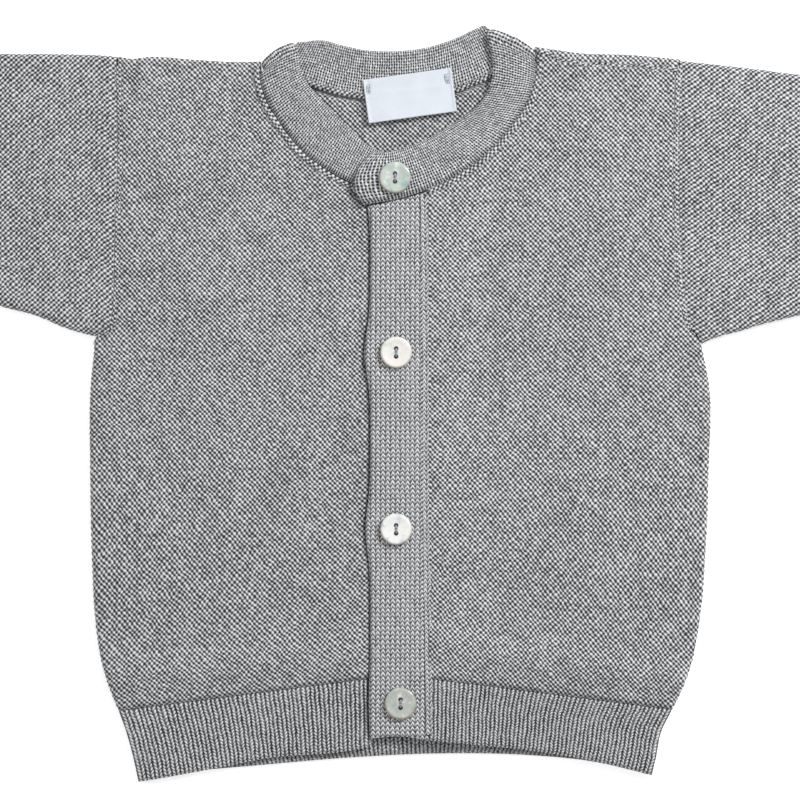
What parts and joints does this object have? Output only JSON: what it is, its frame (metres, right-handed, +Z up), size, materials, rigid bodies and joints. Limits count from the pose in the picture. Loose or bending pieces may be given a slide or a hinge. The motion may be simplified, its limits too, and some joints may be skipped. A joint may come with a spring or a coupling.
{
  "type": "baby cardigan",
  "caption": "Long-sleeved knitted baby cardigan in grey marl, with a doubled round neckband, ribbed hem and cuffs and a buttoned front placket, lying flat on its back.",
  "frame": {"origin": "middle of the garment's footprint, on the surface it lies on", "axes": "+X towards the wearer's left sleeve, +Y towards the neck, +Z up from the surface, out of the garment's front"},
  "size_m": [0.5312, 0.2753, 0.0102],
  "materials": {
    "garter_knit": "fine garter-stitch marl wool, matt, fuzzy",
    "rib_knit": "fine 1x1 rib marl wool, matt",
    "band_knit": "fine stocking-stitch marl wool, matt",
    "neck_knit": "very fine doubled marl knit, matt",
    "label_satin": "bare bluish-white satin ribbon",
    "mother_of_pearl": "polished shell with green, grey and pink cloudy bands"
  },
  "bodies": {
    "root": {"back": "garter_knit", "front_right": "garter_knit", "front_left": "garter_knit", "hem_back": "rib_knit", "hem_front_right": "rib_knit", "hem_front_left": "rib_knit", "sleeve_right": "garter_knit", "sleeve_left": "garter_knit", "cuff_right": "rib_knit", "cuff_left": "rib_knit", "band_under": "band_knit", "band_top": "band_knit", "neckband": "neck_knit", "label": "label_satin", "button_1": "mother_of_pearl", "button_2": "mother_of_pearl", "button_3": "mother_of_pearl", "button_4": "mother_of_pearl"}
  },
  "joints": []
}
